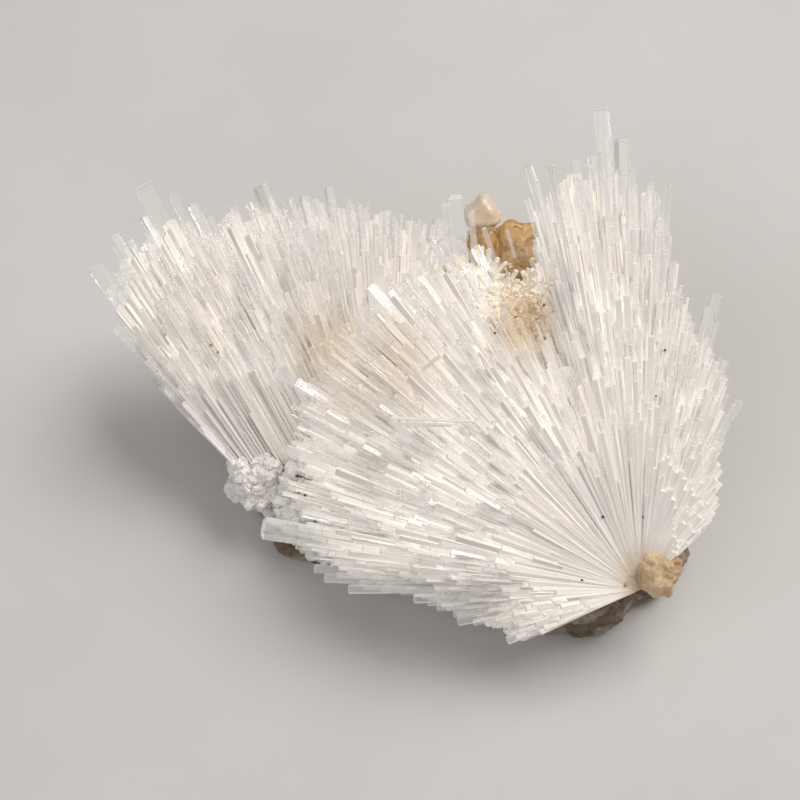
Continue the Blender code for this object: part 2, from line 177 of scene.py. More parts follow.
# Skins of the stones and tinted crystals: how fine in mm, and lumps by size and height in mm
ROCK_SKIN, ROCK_LUMPS = 0.6, [(7, 1.0, 0), (2.4, 0.7, 9), (0.9, 0.35, 21)]
NUB_SKIN, NUB_LUMPS = 0.2, [(2.6, 0.8, 3), (0.9, 0.2, 5), (0.4, 0.07, 8)]
CRUST_SKIN, CRUST_LUMPS = 0.2, [(1.2, 0.3, 1), (0.5, 0.2, 2)]
CRYSTAL_SKIN, CRYSTAL_LUMPS = 0.25, [(4.5, 0.7, 2), (1.8, 0.2, 5)]
CRYSTAL_SMOOTHING, AMBER_TURNS, PEACH_TURNS = 0.6, 10, 5
SPECK_LUMPS = [(0.3, 0.12, 3)]

# Tan stains on the face: right and up in mm, radius in mm, strength
STAINS = [
    (1, 2, 4.5, 0.8), (-18, 41, 5, 0.6), (-48.5, 38, 6, 0.35), (-38, 35, 7, 0.25),
    (-45, 30, 5, 0.2),
]
STAIN_EDGE, STAIN_CORE = 1.5, 0.2
STAIN_BLOTCHES, STAIN_EVENNESS = 700.0, 0.45

CLEAR_TAN, FROST_TAN, MILK_TAN = (0.9, 0.74, 0.52), (0.78, 0.62, 0.42), (0.6, 0.43, 0.25)

# Milky crystal: its darkest and its whitest streaks, and how many go to the metre each way
MILK_WHITES = (0.77, 0.725, 0.68), (0.96, 0.922, 0.876)
TAN_WHITES = (0.86, 0.79, 0.67), (0.96, 0.92, 0.84)
SILK_STREAKS, NEEDLE_STREAKS = (420.0, 60.0), (1800.0, 90.0)

# Stones: two dark and two light colours, grains to the metre, and relief in mm
BROWN_ROCK = (
    ((0.1, 0.07, 0.05), (0.27, 0.2, 0.14)),
    ((0.38, 0.32, 0.26), (0.6, 0.54, 0.47)), 900.0, 0.4,
)
BUFF_STONE = (
    ((0.42, 0.27, 0.13), (0.62, 0.44, 0.25)),
    ((0.6, 0.44, 0.26), (0.82, 0.68, 0.48)), 2200.0, 0.15,
)
WHITE_CRUST = (
    ((0.74, 0.68, 0.61), (0.9, 0.87, 0.83)),
    ((0.86, 0.83, 0.79), (0.95, 0.93, 0.9)), 1500.0, 0.12,
)
DARK_DUST = (
    ((0.02, 0.015, 0.015), (0.05, 0.03, 0.03)),
    ((0.04, 0.02, 0.02), (0.09, 0.04, 0.03)), 3000.0, 0.05,
)
RUST = (
    ((0.5, 0.17, 0.04), (0.65, 0.28, 0.06)),
    ((0.6, 0.26, 0.08), (0.75, 0.4, 0.12)), 3000.0, 0.05,
)

# Tinted crystals: surface colours, colour let through, density, roughness, how see-through
AMBER = (
    ((0.86, 0.58, 0.27), (0.97, 0.82, 0.54)), (0.95, 0.76, 0.46), 110.0, (0.02, 0.15), 0.8,
)
PEACH = (
    ((0.95, 0.75, 0.53), (0.98, 0.89, 0.74)), (0.96, 0.8, 0.6), 90.0, (0.1, 0.3), 0.3,
)

# Studio: the camera looks square at the sloping face
CAMERA_AIM = Vector((-2.86, -4.26, 28.63)) * MM
CAMERA_FAR = 0.616
CAMERA_LENS = 180
SENSOR = 36
IMAGE_WIDTH = 800
FLOOR_SIZE = 4
# Lights: name, place, size, power and colour
LIGHTS = [
    ("key light", (0.5, 0.3, 0.8), 0.7, 8.0, (1.0, 0.955, 0.91)),
    ("fill light", (-0.6, -0.5, 0.8), 0.9, 3, (1.0, 0.985, 0.97)),
]
LIGHTS_AIM = Vector((0, 0, 0.02))
SKY_COLOUR, SKY_STRENGTH = (1.0, 0.985, 0.965, 1.0), 0.24
BOUNCES = 8

# Loose crystals on the face, by where they are seen: both ends in pixels, width and lift in mm
LOOSE_WHITE = [
    (392, 418, 473, 421, 0.5, 0.7), (394, 424, 452, 425, 0.6, 0.5), (422, 370, 441, 355, 0.6, 0.5),
    (497, 618, 520, 603, 0.6, 0.5), (357, 389, 374, 402, 0.5, 0.5),
]
LOOSE_CLEAR = [
    (496, 264, 483, 229, 0.8, 0.5), (460, 262, 454, 195, 2.4, 0.4), (449, 258, 446, 203, 1.5, 0.4),
    (515, 258, 507, 230, 0.6, 0.5), (466, 262, 440, 224, 1.5, 0.4), (474, 250, 470, 214, 0.8, 0.4),
    (437, 262, 448, 226, 0.9, 0.4), (452, 268, 429, 240, 1.1, 0.4), (480, 270, 458, 238, 0.8, 0.4),
    (586, 233, 590, 168, 1.0, 0.3), (313, 462, 284, 448, 1.0, 0.3), (331, 432, 302, 424, 0.9, 0.3),
    (300, 388, 274, 362, 0.9, 0.3), (352, 352, 332, 332, 0.9, 0.3), (478, 320, 500, 352, 0.5, 0.3),
    (516, 300, 500, 330, 0.5, 0.3), (535, 330, 519, 298, 0.5, 0.3),
]
# Specks of dust and rust on the face: place in pixels, size in mm, and whether rusty
SPECKS = [
    (665, 350, 0.35, 0), (656, 396, 0.3, 0), (603, 517, 0.4, 0), (643, 517, 0.3, 0),
    (582, 580, 0.35, 0), (495, 333, 0.4, 0), (516, 317, 0.3, 0), (544, 305, 0.35, 0),
    (211, 345, 0.5, 1), (218, 352, 0.4, 1), (625, 585, 0.5, 1),
]
# How far the first end of a loose crystal is lifted to the level of the other, as a share,
# and how flat loose crystals are
LOOSE_LIFT, LOOSE_FLATNESS = 0.6, 0.7


def clear_selection():
    """Nothing selected, so that an operator acts on the new piece alone."""
    bpy.ops.object.select_all(action="DESELECT")


def pick(piece, chosen):
    """In edit mode, selects the faces that a test of middle and normal chooses."""
    mesh = bmesh.from_edit_mesh(piece.data)
    bpy.ops.mesh.select_all(action="DESELECT")
    for face in mesh.faces:
        if chosen(face.calc_center_median(), face.normal):
            face.select_set(True)
    bmesh.update_edit_mesh(piece.data)


def rename(piece, name):
    piece.name = name
    piece.data.name = name
    return piece


def rays(spray, along, depth):
    """Roots, unit directions and reaches of crystals, as rows of arrays.

    along runs from 0 to 1 across the spray, and depth from -1 at its back to 1 at its front.
    """
    rows = np.array(spray["rows"], dtype=float)
    place = np.clip(along, 0, 1) * (len(rows) - 1)
    steps = np.arange(len(rows))
    root, angle, length = (np.interp(place, steps, rows[:, i]) for i in range(3))
    front = depth > 0
    rise = np.radians(np.where(front, spray["front"], spray["back"])) * np.abs(depth)
    end_share = np.where(front, spray["front_share"], spray["back_share"])
    share = 1 + (end_share - 1) * np.minimum(np.abs(depth), 1) ** FALL_OFF
    turn = np.radians(angle)
    lean = math.radians(spray["lean_back"])
    right = np.cos(turn) * np.cos(rise)
    up = np.sin(turn) * np.cos(rise)
    out = np.sin(rise)
    direction = face_vectors(
        right,
        up * math.cos(lean) + out * math.sin(lean),
        out * math.cos(lean) - up * math.sin(lean),
    )
    flat = np.ones_like(root)
    foot = face_vectors(root, flat * spray["root_up"], flat * spray["root_out"])
    start = np.array(RIGHT_ROOT) + foot * MM
    return start, direction, length * share * MM


def face_vectors(right, up, out):
    """World vectors of face coordinates."""
    axes = np.array([FACE_RIGHT, FACE_UP, FACE_OUT])
    return np.stack([right, up, out], axis=-1) @ axes


def place_of_angle(spray, angle):
    """Where across a spray its crystals lean at an angle, from 0 to 1."""
    angles = np.array([row[1] for row in spray["rows"]], dtype=float)
    steps = np.arange(len(angles)) / (len(angles) - 1)
    if angles[0] > angles[-1]:
        angles = angles[::-1]
        steps = steps[::-1]
    return float(np.interp(angle, angles, steps))


def model_needle(name, end_height, end_size, end_shift, bevelled=False):
    """One crystal to copy: a square prism from 0 to 1, and an end whose height is in widths."""
    clear_selection()
    bpy.ops.mesh.primitive_cube_add(size=1, location=(0, 0, 0.5))
    needle = rename(bpy.context.object, name)
    bpy.ops.object.mode_set(mode="EDIT")
    if bevelled:
        pick(needle, lambda middle, normal: False)
        mesh = bmesh.from_edit_mesh(needle.data)
        for edge in mesh.edges:
            one, two = (vert.co for vert in edge.verts)
            edge.select_set(abs(one.z - two.z) > 0.5)
        bmesh.update_edit_mesh(needle.data)
        bpy.ops.mesh.bevel(offset=EDGE_BEVEL, segments=1)
    pick(needle, lambda middle, normal: normal.z > 0.5)
    bpy.ops.mesh.extrude_region_move(
        TRANSFORM_OT_translate={"value": (end_shift[0], end_shift[1], end_height)}
    )
    bpy.ops.transform.resize(
        value=(end_size[0], end_size[1], 1), center_override=(*end_shift, 1 + end_height)
    )
    bpy.ops.object.mode_set(mode="OBJECT")
    bpy.ops.object.transform_apply(location=True, rotation=False, scale=False)
    return needle


def pattern_of(needle):
    """A modelled crystal's points, its faces, and which of them are its end."""
    points = np.array([vert.co[:] for vert in needle.data.vertices])
    faces = [tuple(face.vertices) for face in needle.data.polygons]
    ends = [min(points[i][2] for i in face) > SHANK_TOP for face in faces]
    bpy.data.meshes.remove(needle.data)
    return points, faces, ends


def turned_axes(direction, turn):
    """Two axes across each crystal, turned about its length."""
    helper = np.array(FACE_OUT)
    across = np.cross(direction, helper)
    across /= np.linalg.norm(across, axis=1)[:, None]
    other = np.cross(direction, across)
    cos = np.cos(turn)[:, None]
    sin = np.sin(turn)[:, None]
    return across * cos + other * sin, other * cos - across * sin


def copies(name, pattern, stand, materials, root_width=ROOT_WIDTH):
    """Copies of one crystal joined in one mesh: shanks as long as the stand says, ends to scale.

    Each copy has its own streaks, and the attribute "grain" runs across and along it.
    """
    points, faces, ends = pattern
    count = len(stand["far"])
    across, other = turned_axes(stand["direction"], stand["turn"])
    shank = np.minimum(points[:, 2], 1.0)
    end = np.maximum(points[:, 2] - 1.0, 0.0)
    width = stand["width"][:, None]
    straight = (stand["far"] - stand["near"])[:, None] - end.max() * width
    lengthwise = stand["near"][:, None] + shank * straight + end * width
    taper = root_width + (1 - root_width) * np.minimum(lengthwise / stand["far"][:, None], 1)
    placed = (
        stand["start"][:, None, :]
        + across[:, None, :] * (points[:, 0] * taper * width)[..., None]
        + other[:, None, :] * (points[:, 1] * taper * stand["thick"][:, None])[..., None]
        + stand["direction"][:, None, :] * lengthwise[..., None]
    )
    mesh = bpy.data.meshes.new(name)
    step = len(points)
    every_face = [tuple(i + n * step for i in face) for n in range(count) for face in faces]
    mesh.from_pydata(placed.reshape(-1, 3).tolist(), [], every_face)
    for material in materials:
        mesh.materials.append(material)
    if len(materials) > 1:
        finish = np.zeros((count, len(faces)), dtype=np.int32)
        finish[:, ends] = 1
        mesh.polygons.foreach_set("material_index", finish.ravel())
    own = np.stack([
        points[:, 0] * width + stand["streaks"][:, None],
        points[:, 1] * width + STREAKS_APART * stand["streaks"][:, None],
        lengthwise,
    ], axis=-1)
    write_values(mesh, "grain", "FLOAT_VECTOR", "vector", own)
    piece = bpy.data.objects.new(name, mesh)
    bpy.context.scene.collection.objects.link(piece)
    return piece


def write_values(mesh, name, kind, field, values):
    """Writes one value or vector a vertex, for the materials to read."""
    layer = mesh.attributes.new(name, kind, "POINT")
    layer.data.foreach_set(field, np.asarray(values, dtype=np.float32).ravel())


def joined(name, pieces):
    """Several meshes as one piece."""
    clear_selection()
    for piece in pieces:
        piece.select_set(True)
    bpy.context.view_layer.objects.active = pieces[0]
    bpy.ops.object.join()
    return rename(bpy.context.object, name)


def widths_across(spray, level, random):
    """Places and widths of needles that stand side by side in one layer of a spray."""
    grid = np.linspace(0, 1, STEPS_ACROSS)
    start, direction, reach = rays(spray, grid, np.full(len(grid), level))
    middle = (reach[1:] + reach[:-1])[:, None] / 2
    steps = np.diff(start, axis=0) + np.diff(direction, axis=0) * middle
    run = np.concatenate([[0], np.cumsum(np.linalg.norm(steps, axis=1))])
    low, high = NEEDLE_WIDTHS
    most = int(run[-1] / (low * MM)) + 1
    width = (low + (high - low) * random.random(most) ** THIN_COMMONER) * MM
    edge = np.cumsum(width) - random.uniform(0, low * MM)
    inside = edge < run[-1]
    along = np.interp(edge[inside] - width[inside] / 2, run, grid)
    return along, width[inside]


def spray_stand(spray, seed):
    """Where a spray's needles stand: layer over layer, like shingles, from back to front."""
    random = np.random.default_rng(seed)
    levels = np.concatenate([
        np.linspace(-1, 0, spray["back_layers"], endpoint=False),
        np.linspace(0, 1, spray["front_layers"]),
    ])
    layers = [widths_across(spray, level, random) for level in levels]
    along = np.concatenate([layer[0] for layer in layers])
    width = np.concatenate([layer[1] for layer in layers]) * SIDE_BY_SIDE
    level = np.concatenate([np.full(len(layer[0]), z) for layer, z in zip(layers, levels)])
    count = len(along)
    wander = random.uniform(-LAYER_WANDER, LAYER_WANDER, count)
    depth = level + wander / spray["front_layers"]
    start, direction, reach = rays(spray, along, depth)
    direction = direction + random.normal(0, NEEDLE_SPREAD, (count, 3))
    direction /= np.linalg.norm(direction, axis=1)[:, None]
    bundle = np.array([
        noise.noise((a * BUNDLES_ACROSS, z * BUNDLES_DEEP, seed)) for a, z in zip(along, level)
    ])
    short = SHORTFALL * random.random(count) ** LITTLE_COMMONER
    short += BUNDLE_SHORTFALL * np.maximum(-bundle, 0)
    outer = np.clip((reach / MM - CLEAR_FROM) / CLEAR_RUN, 0, 1)
    return {
        "start": start,
        "direction": direction,
        "near": reach * np.where(np.abs(level) > OUTER_LAYERS, NEEDLE_ROOTED, NEEDLE_EMERGES),
        "far": reach * spray["outline"] * (1 - short),
        "width": width,
        "thick": width * random.uniform(*NEEDLE_FLATNESS, count),
        "turn": random.normal(0, NEEDLE_TURN, count),
        "streaks": random.random(count),
        "clear": random.random(count) < CLEAR_SHARE * outer,
    }


def tall_stand(spray, seed):
    """Where the crystals of the outline stand, each with a shorter one or two beside it."""
    random = np.random.default_rng(seed)
    tips = np.repeat(np.array(spray["tips"]), 3, axis=0)
    count = len(tips)
    beside = np.arange(count) % 3
    tips[:, 0] += np.where(beside > 0, random.uniform(-BESIDE_LEAN, BESIDE_LEAN, count), 0)
    tips[:, 1] *= np.where(beside > 0, random.uniform(*BESIDE_REACH, count), 1)
    tips[:, 2] *= np.where(beside > 0, random.uniform(*BESIDE_WIDTH, count), 1)
    along = np.array([place_of_angle(spray, angle) for angle in tips[:, 0]])
    depth = random.uniform(*TALL_DEPTH, count)
    start, direction, reach = rays(spray, along, depth)
    width = tips[:, 2] * np.where(tips[:, 2] < SLIM_TIP, SLIMMER, 1) * MM
    return {
        "start": start,
        "direction": direction,
        "near": reach * NEEDLE_EMERGES,
        "far": tips[:, 1] * MM,
        "width": width,
        "thick": width * random.uniform(*TALL_FLATNESS, count),
        "turn": random.normal(0, NEEDLE_TURN * 2, count),
        "streaks": random.random(count),
    }


def crust_stand(base, chosen, count, lengths, widths, seed):
    """Where short crystals stand on a piece: on faces that a test chooses, sizes in mm."""
    random = np.random.default_rng(seed)
    faces = base.data.polygons
    middles, normals = np.zeros(len(faces) * 3), np.zeros(len(faces) * 3)
    areas = np.zeros(len(faces))
    faces.foreach_get("center", middles)
    faces.foreach_get("normal", normals)
    faces.foreach_get("area", areas)
    middles, normals = middles.reshape(-1, 3), normals.reshape(-1, 3)
    areas *= chosen(middles / MM, normals)
    spots = random.choice(len(faces), count, p=areas / areas.sum())
    direction = normals[spots] + random.normal(0, CRUST_SPREAD, (count, 3))
    direction /= np.linalg.norm(direction, axis=1)[:, None]
    width = random.uniform(*widths, count) * MM
    length = random.uniform(*lengths, count) * MM
    return {
        "start": middles[spots] - normals[spots] * CRUST_ROOTED * MM,
        "direction": direction,
        "near": np.zeros(count),
        "far": length + CRUST_ROOTED * MM,
        "width": width,
        "thick": width * random.uniform(*CRUST_FLATNESS, count),
        "turn": random.uniform(0, math.pi, count),
        "streaks": random.random(count),
    }


def carpet(row, pattern, base, chosen, finishes):
    """Short crystals on the faces of a piece that a test chooses, joined in one mesh."""
    name, *sizes = row
    return copies(name, pattern, crust_stand(base, chosen, *sizes), finishes, root_width=1.0)


def gap_stand():
    """Where the fine tan crystals stand that fill the gap below the amber crystal."""
    random = np.random.default_rng(GAP_SEED)
    count = GAP_CRYSTALS
    right, up, out, half_right, half_up = GAP
    places = face_vectors(
        right + half_right * random.uniform(-1, 1, count),
        up + half_up * random.uniform(-1, 1, count),
        out + random.uniform(-1, 1, count),
    )
    lean = random.normal(0, GAP_SPREAD, (count, 2))
    direction = face_vectors(lean[:, 0], GAP_TILT + lean[:, 1], np.ones(count))
    direction /= np.linalg.norm(direction, axis=1)[:, None]
    width = random.uniform(*GAP_WIDTHS, count) * MM
    return {
        "start": np.array(RIGHT_ROOT) + places * MM,
        "direction": direction,
        "near": np.zeros(count),
        "far": random.uniform(*GAP_LENGTHS, count) * MM,
        "width": width,
        "thick": width * random.uniform(*CRUST_FLATNESS, count),
        "turn": random.uniform(0, math.pi, count),
        "streaks": random.random(count),
    }


def everywhere(middles, normals):
    """All faces of a piece."""
    return np.ones(len(middles))


def on_hump(middles, normals):
    """Faces of the rock's hump, in the gap below the amber crystal."""
    away = np.linalg.norm(middles - np.array(HUMP), axis=1)
    return (away < HUMP_RADIUS) & (normals[:, 2] > 0)


def at_left_margin(middles, normals):
    """Faces of the rock's left margin, above a rim that stays bare."""
    from_root = middles - np.array(RIGHT_ROOT) / MM
    right = from_root @ np.array(FACE_RIGHT)
    up = from_root @ np.array(FACE_UP)
    bare = MARGIN_LOW + MARGIN_RUN * (right - MARGIN_LEFT)
    outward = normals @ np.array(FACE_OUT) > 0
    clear_of_floor = middles[:, 2] > MARGIN_FLOOR
    return outward & clear_of_floor & (right < MARGIN_RIGHT) & (up > bare) & (up < MARGIN_TOP)


def part_of(stand, chosen):
    """The crystals of a stand that are chosen."""
    return {key: values[chosen] for key, values in stand.items()}


def milk_of(stand, shares, seed):
    """The milky threads inside clear needles: thinner, and shorter by a share of their own."""
    random = np.random.default_rng(seed)
    count = len(stand["far"])
    milk = dict(stand)
    share = random.uniform(*shares, count)
    milk["far"] = stand["near"] + (stand["far"] - stand["near"]) * share
    milk["width"] = stand["width"] * MILK_WIDTH
    milk["thick"] = stand["thick"] * MILK_WIDTH
    return milk


def milky_body(name, spray):
    """The milky middle of a spray, with fine ridges that run from its roots to its domed end."""
    clear_selection()
    columns, rings = spray["body_grid"]
    bpy.ops.mesh.primitive_grid_add(x_subdivisions=columns, y_subdivisions=rings, size=2)
    body = rename(bpy.context.object, name)
    bpy.ops.object.mode_set(mode="EDIT")
    bpy.ops.mesh.select_all(action="SELECT")
    bpy.ops.mesh.region_to_loop()
    bpy.ops.mesh.extrude_edges_indiv()
    bpy.ops.object.mode_set(mode="OBJECT")
    mesh = body.data
    count = len(mesh.vertices)
    flat = np.zeros(count * 3)
    mesh.vertices.foreach_get("co", flat)
    flat = flat.reshape(-1, 3)
    roots = np.zeros(count, dtype=bool)
    mesh.vertices.foreach_get("select", roots)
    along = (flat[:, 0] + 1) / 2
    fine = np.array([noise.noise((a * FINE_RIDGES, 3.0, 0.0)) for a in along])
    coarse = np.array([
        noise.noise((a * COARSE_RIDGES, d * COARSE_LAYERS, 5.0))
        for a, d in zip(along, flat[:, 1])
    ])
    depth = flat[:, 1] * (BODY_DEPTH + SIDE_FINE * fine + SIDE_COARSE * coarse)
    start, direction, reach = rays(spray, along, depth)
    length = reach * (BODY_REACH + END_COARSE * coarse + END_FINE * fine)
    length[roots] = 0.0
    placed = start + direction * length[:, None]
    mesh.vertices.foreach_set("co", placed.ravel())
    grain = np.stack([along, flat[:, 1] * GRAIN_DEEP, length], axis=-1)
    write_values(mesh, "grain", "FLOAT_VECTOR", "vector", grain)
    bpy.ops.object.mode_set(mode="EDIT")
    bpy.ops.mesh.select_all(action="SELECT")
    bpy.ops.mesh.remove_doubles(threshold=BODY_MERGE * MM)
    bpy.ops.mesh.normals_make_consistent(inside=False)
    bpy.ops.object.mode_set(mode="OBJECT")
    bpy.ops.object.shade_flat()
    return body


def copy_of(node, name):
    """A CAD node's shape as a new piece, its loose triangles merged."""
    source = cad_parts[node]
    mesh = source.data.copy()
    mesh.materials.clear()
    piece = bpy.data.objects.new(name, mesh)
    bpy.context.scene.collection.objects.link(piece)
    clear_selection()
    piece.select_set(True)
    bpy.context.view_layer.objects.active = piece
    bpy.ops.object.mode_set(mode="EDIT")
    bpy.ops.mesh.select_all(action="SELECT")
    bpy.ops.mesh.remove_doubles(threshold=NODE_MERGE * MM)
    bpy.ops.mesh.normals_make_consistent(inside=False)
    bpy.ops.object.mode_set(mode="OBJECT")
    return rename(piece, name)


def apply_modifier(piece, kind, **settings):
    """Adds a modifier, and applies it at once."""
    modifier = piece.modifiers.new(kind.title(), kind)
    for key, value in settings.items():
        setattr(modifier, key, value)
    clear_selection()
    piece.select_set(True)
    bpy.context.view_layer.objects.active = piece
    bpy.ops.object.modifier_apply(modifier=modifier.name)


def roughened(piece, voxel, lumps, floor=None):
    """A finer skin over a piece, pushed in and out by noise of several sizes in mm."""
    apply_modifier(piece, "REMESH", mode="VOXEL", voxel_size=voxel * MM)
    return pushed(piece, lumps, floor)


def pushed(piece, lumps, floor=None):
    """A piece with its skin pushed in and out by noise: sizes and heights in mm, and seeds."""
    mesh = piece.data
    count = len(mesh.vertices)
    places = np.zeros(count * 3)
    mesh.vertices.foreach_get("co", places)
    places = places.reshape(-1, 3)
    normals = np.zeros(count * 3, dtype=np.float32)
    mesh.vertex_normals.foreach_get("vector", normals)
    push = np.zeros(count)
    for size, height, seed in lumps:
        spots = places / (size * MM) + (0, 0, seed)
        push += height * np.array([noise.noise(spot) for spot in spots])
    places += normals.reshape(-1, 3) * push[:, None] * MM
    if floor is not None:
        places[:, 2] = np.maximum(places[:, 2], floor)
    mesh.vertices.foreach_set("co", places.ravel())
    mesh.update()
    return piece


def add(tree, kind, **settings):
    """One node, with its settings and the values of its sockets."""
    node = tree.nodes.new(kind)
    for key, value in settings.items():
        if key in node.inputs:
            node.inputs[key].default_value = value
        else:
            setattr(node, key, value)
    return node


def fresh_material(name, **values):
    """A material with one shader, whose even values are set on its own sockets."""
    material = bpy.data.materials.new(name)
    material.use_nodes = True
    shader = material.node_tree.nodes["Principled BSDF"]
    for socket, value in values.items():
        shader.inputs[socket.replace("_", " ")].default_value = value
    return material, material.node_tree, shader


def noise_of(tree, place, scale, detail=3.0, roughness=0.55):
    """Noise over a place, which is an output of another node."""
    node = add(tree, "ShaderNodeTexNoise", Scale=scale, Detail=detail, Roughness=roughness)
    tree.links.new(place, node.inputs["Vector"])
    return node.outputs["Fac"]


def stretched(tree, place, scale):
    """A place with its three numbers scaled apart, for streaks."""
    node = add(tree, "ShaderNodeMapping", Scale=scale)
    tree.links.new(place, node.inputs["Vector"])
    return node.outputs["Vector"]


def ramp_of(tree, factor, stops):
    """Colours along a factor: stops of place and colour."""
    node = add(tree, "ShaderNodeValToRGB")
    ramp = node.color_ramp
    while len(ramp.elements) < len(stops):
        ramp.elements.new(0.5)
    for element, (place, colour) in zip(ramp.elements, stops):
        element.position = place
        element.color = (*colour, 1.0)
    tree.links.new(factor, node.inputs["Fac"])
    return node.outputs["Color"]


def mixed(tree, factor, one, two):
    """Two colours mixed; each is an output, or a plain colour."""
    node = add(tree, "ShaderNodeMix", data_type="RGBA")
    for socket, value in ((0, factor), (6, one), (7, two)):
        if isinstance(value, bpy.types.NodeSocket):
            tree.links.new(value, node.inputs[socket])
        elif isinstance(value, tuple):
            node.inputs[socket].default_value = (*value, 1.0)
        else:
            node.inputs[socket].default_value = value
    return node.outputs[2]


def calculated(tree, operation, one, two):
    """A number worked out of two; each is an output, or a plain number."""
    node = add(tree, "ShaderNodeMath", operation=operation)
    for socket, value in enumerate((one, two)):
        if isinstance(value, bpy.types.NodeSocket):
            tree.links.new(value, node.inputs[socket])
        else:
            node.inputs[socket].default_value = value
    return node.outputs[0]


def bumped(tree, shader, height, distance, strength=1.0):
    """Fine relief from a height, whose full step is the distance in mm."""
    node = add(tree, "ShaderNodeBump", Strength=strength, Distance=distance * MM)
    tree.links.new(height, node.inputs["Height"])
    tree.links.new(node.outputs["Normal"], shader.inputs["Normal"])


def stained(tree, colour, tan):
    """A colour that turns tan round the stains, however deep below the face."""
    place = object_place(tree)
    strongest = 0.0
    for right, up, radius, strength in STAINS:
        middle = RIGHT_ROOT + (FACE_RIGHT * right + FACE_UP * up) * MM
        away = add(tree, "ShaderNodeVectorMath", operation="SUBTRACT")
        away.inputs[1].default_value = middle
        tree.links.new(place, away.inputs[0])
        aside = add(tree, "ShaderNodeVectorMath", operation="CROSS_PRODUCT")
        aside.inputs[1].default_value = FACE_OUT
        tree.links.new(away.outputs["Vector"], aside.inputs[0])
        size = add(tree, "ShaderNodeVectorMath", operation="LENGTH")
        tree.links.new(aside.outputs["Vector"], size.inputs[0])
        fade = add(tree, "ShaderNodeMapRange", interpolation_type="SMOOTHSTEP")
        fade.inputs["From Min"].default_value = STAIN_EDGE * radius * MM
        fade.inputs["From Max"].default_value = STAIN_CORE * radius * MM
        fade.inputs["To Max"].default_value = strength
        tree.links.new(size.outputs["Value"], fade.inputs["Value"])
        strongest = calculated(tree, "MAXIMUM", fade.outputs["Result"], strongest)
    blotches = noise_of(tree, place, STAIN_BLOTCHES, 3.0)
    uneven = calculated(tree, "ADD", blotches, STAIN_EVENNESS)
    return mixed(tree, calculated(tree, "MULTIPLY", strongest, uneven), colour, tan)


def attribute_of(tree, name, output):
    return add(tree, "ShaderNodeAttribute", attribute_name=name).outputs[output]


def object_place(tree):
    return add(tree, "ShaderNodeTexCoord").outputs["Object"]


def set_roughness(tree, shader, factor, *stops):
    """Roughness along a factor: stops of place and roughness."""
    rough = ramp_of(tree, factor, [(place, (value,) * 3) for place, value in stops])
    tree.links.new(rough, shader.inputs["Roughness"])


def clear_needle_material():
    """Clear, faintly warm crystal with hair-fine lines along its length."""
    material, tree, shader = fresh_material(
        "clear needle", Transmission_Weight=0.8, IOR=1.51, Specular_IOR_Level=0.5
    )
    grain = attribute_of(tree, "grain", "Vector")
    lines = noise_of(tree, stretched(tree, grain, (2600, 2600, 90)), 1.0, 2.0)
    clear = ramp_of(tree, lines, [(0.3, (0.9, 0.89, 0.88)), (0.62, (1.0, 0.995, 0.985))])
    colour = stained(tree, clear, CLEAR_TAN)
    tree.links.new(colour, shader.inputs["Base Color"])
    set_roughness(tree, shader, lines, (0.35, 0.2), (0.6, 0.03))
    bumped(tree, shader, lines, 0.03, 0.5)
    return material


def frosted_end_material(name, see_through):
    """The frosty, whitish faces at the ends of needles."""
    material, tree, shader = fresh_material(name, Transmission_Weight=see_through, IOR=1.51)
    place = object_place(tree)
    frost = noise_of(tree, place, 2600.0, 3.0)
    white = ramp_of(tree, frost, [(0.3, (0.82, 0.8, 0.78)), (0.7, (0.97, 0.955, 0.94))])
    colour = stained(tree, white, FROST_TAN)
    tree.links.new(colour, shader.inputs["Base Color"])
    set_roughness(tree, shader, frost, (0.3, 0.3), (0.7, 0.6))
    bumped(tree, shader, frost, 0.04, 0.6)
    return material


def milk_material(name, across, lengthwise, darkest, whitest):
    """Milky, silky white crystal, streaked along its length and stained tan in places."""
    material, tree, shader = fresh_material(name, IOR=1.51, Specular_IOR_Level=0.6)
    grain = attribute_of(tree, "grain", "Vector")
    wide = noise_of(tree, stretched(tree, grain, (across, across, lengthwise)), 1.0, 4.0)
    fine = noise_of(
        tree, stretched(tree, grain, (across * 4, across * 4, lengthwise * 2)), 1.0, 2.0
    )
    wide_half = calculated(tree, "MULTIPLY", wide, 0.5)
    fine_half = calculated(tree, "MULTIPLY", fine, 0.5)
    streaks = calculated(tree, "ADD", wide_half, fine_half)
    white = ramp_of(tree, streaks, [(0.36, darkest), (0.55, whitest)])
    colour = stained(tree, white, MILK_TAN)
    tree.links.new(colour, shader.inputs["Base Color"])
    set_roughness(tree, shader, fine, (0.3, 0.3), (0.7, 0.55))
    bumped(tree, shader, streaks, 0.12, 0.7)
    return material


def stone_material(name, darks, lights, grain_scale, relief):
    """Rough, grainy stone of two earthy colours, with crumbs in its relief."""
    material, tree, shader = fresh_material(name, Specular_IOR_Level=0.35)
    place = object_place(tree)
    patches = noise_of(tree, place, 130.0, 5.0, 0.6)
    grains = noise_of(tree, place, grain_scale, 6.0, 0.7)
    crumbs = add(tree, "ShaderNodeTexVoronoi", Scale=grain_scale * 0.8)
    tree.links.new(place, crumbs.inputs["Vector"])
    dark = ramp_of(tree, grains, [(0.3, darks[0]), (0.7, darks[1])])
    light = ramp_of(tree, grains, [(0.3, lights[0]), (0.7, lights[1])])
    where = ramp_of(tree, patches, [(0.45, (0, 0, 0)), (0.6, (1, 1, 1))])
    colour = mixed(tree, where, dark, light)
    tree.links.new(colour, shader.inputs["Base Color"])
    set_roughness(tree, shader, grains, (0.3, 0.9), (0.7, 0.6))
    height = calculated(tree, "SUBTRACT", grains, crumbs.outputs["Distance"])
    bumped(tree, shader, height, relief, 0.8)
    return material


